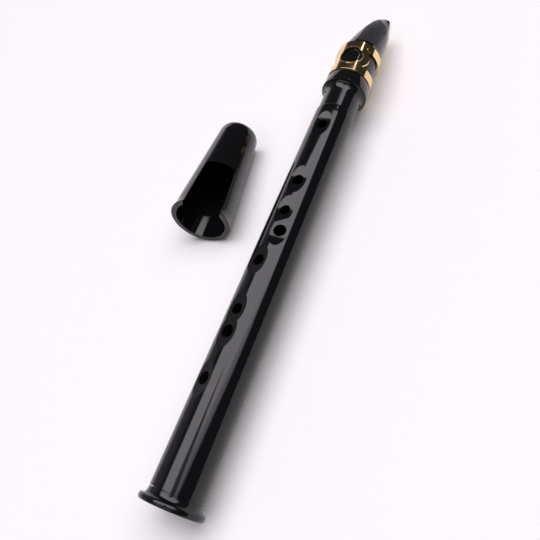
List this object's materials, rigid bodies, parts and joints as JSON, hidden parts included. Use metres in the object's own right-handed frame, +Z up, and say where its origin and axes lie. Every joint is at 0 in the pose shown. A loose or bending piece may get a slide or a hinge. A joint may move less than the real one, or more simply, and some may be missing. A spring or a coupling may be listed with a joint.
{
  "type": "pocket saxophone",
  "caption": "Keyless pocket saxophone: a finger-holed tube with a beaded bell rim, a single reed mouthpiece with a gold ligature, and its slotted cap lying beside it.",
  "frame": {"origin": "middle of the set's bounding box, on the floor that it lies on", "axes": "+Z up, the horn lies along +Y from its bell to the tip of its beak, the cap lies at its -X side"},
  "size_m": [0.0948, 0.3224, 0.0363],
  "materials": {
    "body_plastic": "polished black moulding",
    "mouthpiece_plastic": "polished black, matt on the bite surface",
    "cap_plastic": "polished black moulding",
    "ligature_gold": "polished gold lacquer",
    "reed_cane": "dry cane",
    "seal_rubber": "matt black"
  },
  "bodies": {
    "body": {"body_tube": "body_plastic", "bell_ring": "body_plastic"},
    "tenon_rings": {"tenon_ring_1": "seal_rubber", "tenon_ring_2": "seal_rubber"},
    "mouthpiece": {"mouthpiece": "mouthpiece_plastic"},
    "reed": {"reed": "reed_cane"},
    "ligature": {"ligature_band": "ligature_gold", "lower_post_threaded": "ligature_gold", "lower_post_plain": "ligature_gold", "upper_post_threaded": "ligature_gold", "upper_post_plain": "ligature_gold"},
    "lower_screw": {"lower_screw": "ligature_gold"},
    "upper_screw": {"upper_screw": "ligature_gold"},
    "cap": {"mouthpiece_cap": "cap_plastic"}
  },
  "joints": [
    {"name": "mouthpiece_slide", "type": "slide", "parent": "body", "child": "tenon_rings", "axis": [0, 0.9998, 0.0203], "range_m": [0, 0.013]},
    {"name": "mouthpiece_turn", "type": "hinge", "parent": "tenon_rings", "child": "mouthpiece", "pos_m": [0.03172, 0.06305, 0.02028], "axis": [0, 0.9998, 0.0203], "continuous": true},
    {"name": "reed_slide", "type": "slide", "parent": "mouthpiece", "child": "reed", "axis": [0, 0.9998, 0.0203], "range_m": [0, 0.068]},
    {"name": "ligature_slide", "type": "slide", "parent": "mouthpiece", "child": "ligature", "axis": [0, 0.9998, 0.0203], "range_m": [0, 0.068]},
    {"name": "lower_screw_turn", "type": "hinge", "parent": "ligature", "child": "lower_screw", "pos_m": [0.02924, 0.09616, 0.00333], "axis": [0.9902, 0.0028, -0.1395], "range_deg": [0, 900]},
    {"name": "upper_screw_turn", "type": "hinge", "parent": "ligature", "child": "upper_screw", "pos_m": [0.02924, 0.11405, 0.00369], "axis": [0.9902, 0.0028, -0.1395], "range_deg": [0, 900]},
    {"name": "cap_lift", "type": "slide", "parent": "body", "child": "cap", "axis": [0, 0, 1], "range_m": [0, 0.06]}
  ]
}
